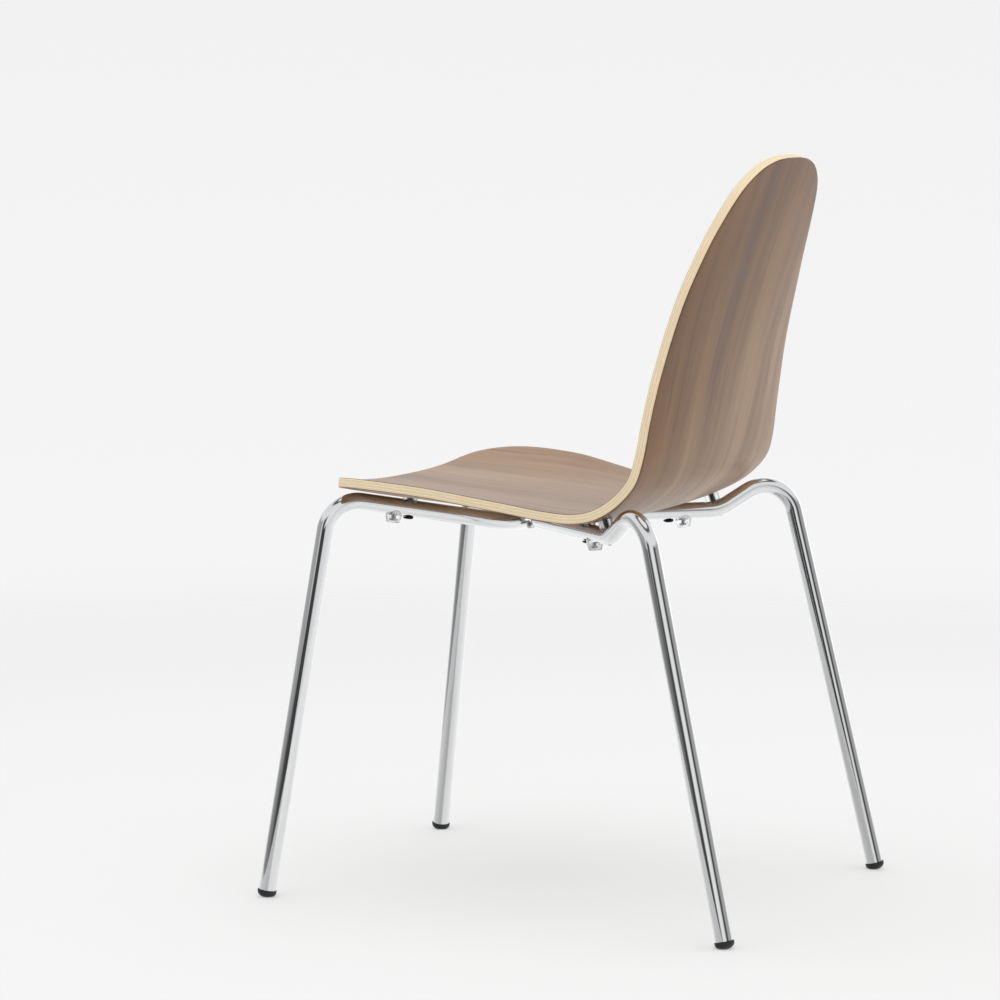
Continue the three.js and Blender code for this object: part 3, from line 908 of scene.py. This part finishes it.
# ---- Glides ----------------------------------------------------------------------------------
class Foot(Axis):
    """The end of a leg: local points are measured from the tube's end, up the tube."""

    def __init__(self, line_name, sign):
        line = LINES[line_name]
        self.centre, self.axis, self.sign = line.points[0], line.tangents[0], sign
        self.along = unit(np.cross(self.axis, (0, 1, 0)))
        self.side = np.cross(self.axis, self.along)


def add_glide(node, line_name, sign):
    """A domed glide on a leg's end, cut level with the floor, with its spigot in the tube."""
    radius, spigot, length = GLIDE["radius"], GLIDE["spigot"], GLIDE["length"]
    collar, dome = GLIDE["collar"], GLIDE["dome"]
    points = []
    for turn in np.linspace(0.06, math.pi / 2, 16):
        points.append((radius * math.sin(turn), -collar - (dome - collar) * math.cos(turn)))
    points += [
        (radius, -GAP - 0.5), (radius - 0.5, -GAP), (spigot, -GAP), (spigot, length - 2),
        (spigot - 1.5, length),
    ]
    foot = Foot(line_name, sign)
    piece = turned(f"{node}_detail", foot, points, "black_glide", node, sides=48)
    for vertex in piece.data.vertices:
        vertex.co.z = max(vertex.co.z, 0)
    piece.data.set_sharp_from_angle(angle=math.radians(38))


for side_name, sign in SIDES:
    for line_name in ("front", "rear"):
        add_glide(f"{line_name}_{side_name}_glide", line_name, sign)


# ---- Weld beads ------------------------------------------------------------------------------
def add_weld(node, direction):
    """A rippled bead along the joint, above (1) or below (-1) the two tubes."""
    apexes = [line.points[len(line.points) // 2] for line in (LINES["front"], LINES["rear"])]
    across = unit(apexes[1] - apexes[0])
    up = np.cross((1, 0, 0), across) * direction
    middle = (apexes[0] + apexes[1]) / 2 + up * WELD_OFFSET
    sides, rows = 20, WELD_RIPPLES * 6
    points = []
    for row in range(rows + 1):
        share = row / rows
        ripple = 1 - 0.10 * abs(math.sin(math.pi * WELD_RIPPLES * share))
        taper = min(1, 4.2 * math.sqrt(max(share * (1 - share), 0.0004)))
        radius = WELD_RADIUS * 0.94 * ripple * taper
        for angle in np.linspace(0, 2 * math.pi, sides, endpoint=False):
            place = middle + radius * (math.cos(angle) * across + math.sin(angle) * up)
            points.append(place + np.array((WELD_LENGTH * (share - 0.5), 0, 0)))
    faces = ring_faces(rows + 1, sides)
    faces += [tuple(range(sides))[::-1], tuple(range(rows * sides, (rows + 1) * sides))]
    if direction < 0:
        faces = [face[::-1] for face in faces]
    add_piece(f"{node}_detail", points, faces, "weld", node, sharp=60)


add_weld("weld_bead_top", 1)
add_weld("weld_bead_bottom", -1)


# ---- CAD nodes that stay as they are ---------------------------------------------------------
for place in MOUNTS:
    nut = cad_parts[f"tee_nut_{place.name}"]
    nut.data.materials.clear()
    nut.data.materials.append(FINISHES["zinc_steel"])


# ---- Studio ----------------------------------------------------------------------------------
FLOOR_RADIUS = 7.0
FLOOR_FADE = (1.7, 3.1)             # metres from the chair over which the floor melts away
FLOOR_FADE_IN_CHROME = (0.6, 1.1)   # and in the tubes, which mirror the surround beyond it
FLOOR_CLEARNESS = 0.45              # share of the backdrop that shows through and softens shadows
BACKDROP = (0.915, 0.885)           # its brightness low down and at eye level
BACKDROP_HEIGHTS = (-0.13, 0.03)    # the directions' heights over which it changes

# The surround that the chrome mirrors: (degrees round from the camera's azimuth, brightness).
BANDS_ABOVE = (
    (-150, 1.05), (-120, 0.41), (-60, 0.33), (-44, 0.73), (-36, 0.055), (-20, 0.08), (-8, 0.80),
    (20, 0.80), (30, 0.55), (38, 0.07), (52, 0.065), (66, 0.35), (104, 0.38), (120, 0.8),
    (138, 1.35), (160, 1.35),
)
BANDS_BELOW = (
    (-150, 1.0), (-100, 0.28), (-60, 0.17), (-36, 0.05), (0, 0.05), (10, 0.68), (120, 0.9),
    (160, 1.1),
)
BANDS_OVERHEAD = (                  # (height of the direction, brightness)
    (0.0, 0.78), (0.55, 0.78), (0.80, 0.74), (0.87, 0.11), (0.92, 0.11), (0.95, 0.82),
)
HORIZON = (-0.03, 0.015)            # heights over which the bands below turn into those above
OVERHEAD = (0.28, 0.42)             # and those above into those overhead

LIGHTS = (                          # name, place, aim, size in metres, watts
    ("overhead", (0.2, 0.1, 3.0), (0, 0, 0.3), 2.6, 26),
    ("side", (2.6, -1.6, 1.9), (0, 0, 0.5), 1.8, 6),
    ("behind", (-1.5, 2.7, 0.7), (0, 0.2, 0.6), 1.4, 14),
)


def add_floor():
    """A round pale floor that melts into the backdrop."""
    sides = 96
    angles = np.linspace(0, 2 * math.pi, sides, endpoint=False)
    points = [(FLOOR_RADIUS * math.cos(a), FLOOR_RADIUS * math.sin(a), 0) for a in angles]
    mesh = bpy.data.meshes.new("floor")
    mesh.from_pydata(points, [], [tuple(range(sides))])
    s = Shader(
        "pale_floor", Base_Color=(0.82, 0.82, 0.82, 1), Roughness=0.7, Specular_IOR_Level=0.2,
    )
    far = s.node("ShaderNodeVectorMath", {0: s.place()}, operation="LENGTH").outputs["Value"]
    clear = s.node("ShaderNodeBsdfTransparent")
    glossy = s.node("ShaderNodeLightPath").outputs["Is Glossy Ray"]
    fade = s.maths(
        "MAXIMUM", s.spread(far, *FLOOR_FADE, FLOOR_CLEARNESS, 1, "SMOOTHSTEP"),
        s.maths("MULTIPLY", glossy, s.spread(far, *FLOOR_FADE_IN_CHROME, 0, 1)),
    )
    mix = s.node("ShaderNodeMixShader", {
        0: fade, 1: s.bsdf.outputs["BSDF"], 2: clear.outputs["BSDF"],
    })
    output = s.tree.nodes["Material Output"]
    s.tree.links.new(mix.outputs["Shader"], output.inputs["Surface"])
    mesh.materials.append(s.material)
    floor = bpy.data.objects.new("floor", mesh)
    bpy.context.scene.collection.objects.link(floor)


def add_world():
    """A pale surround for the eye and the soft light, and a studio's bands for the chrome."""
    world = bpy.data.worlds.new("studio")
    world.use_nodes = True
    bpy.context.scene.world = world
    s = NodeKit(world.node_tree)
    direction = s.node("ShaderNodeTexCoord").outputs["Generated"]
    turned_to_front = s.node(
        "ShaderNodeVectorRotate", {"Vector": direction}, rotation_type="Z_AXIS",
        Angle=-math.radians(CAMERA_AZIMUTH - 90),
    ).outputs["Vector"]
    part = s.node("ShaderNodeSeparateXYZ", {"Vector": turned_to_front}).outputs
    height = part["Z"]
    azimuth = s.maths("ARCTAN2", part["Y"], part["X"])
    turn = s.spread(azimuth, -math.pi, math.pi, 0, 1)

    def round_about(bands):
        return s.ramp(turn, [((degrees + 180) / 360, (grey,) * 3) for degrees, grey in bands])

    above, below = round_about(BANDS_ABOVE), round_about(BANDS_BELOW)
    overhead = s.ramp(height, [(level, (grey,) * 3) for level, grey in BANDS_OVERHEAD])
    low = s.blend("MIX", s.spread(height, *HORIZON, 0, 1), below, above)
    bands = s.blend("MIX", s.spread(height, *OVERHEAD, 0, 1), low, overhead)
    glossy = s.node("ShaderNodeLightPath").outputs["Is Glossy Ray"]
    backdrop = s.spread(height, *BACKDROP_HEIGHTS, *BACKDROP)
    colour = s.blend("MIX", glossy, backdrop, bands)
    s.tree.links.new(colour, s.tree.nodes["Background"].inputs["Color"])


def add_area_light(name, place, aim, size, watts):
    """A soft square light that neither the camera nor the chrome sees."""
    data = bpy.data.lights.new(name, "AREA")
    data.shape, data.size, data.energy = "SQUARE", size, watts
    light = bpy.data.objects.new(name, data)
    light.location = place
    light.rotation_mode = "QUATERNION"
    light.rotation_quaternion = (Vector(aim) - Vector(place)).to_track_quat("-Z", "Y")
    light.visible_glossy = False
    light.visible_camera = False
    bpy.context.scene.collection.objects.link(light)


add_floor()
add_world()
for light in LIGHTS:
    add_area_light(*light)

scene = bpy.context.scene
scene.view_settings.view_transform = "Standard"
scene.view_settings.look = "None"
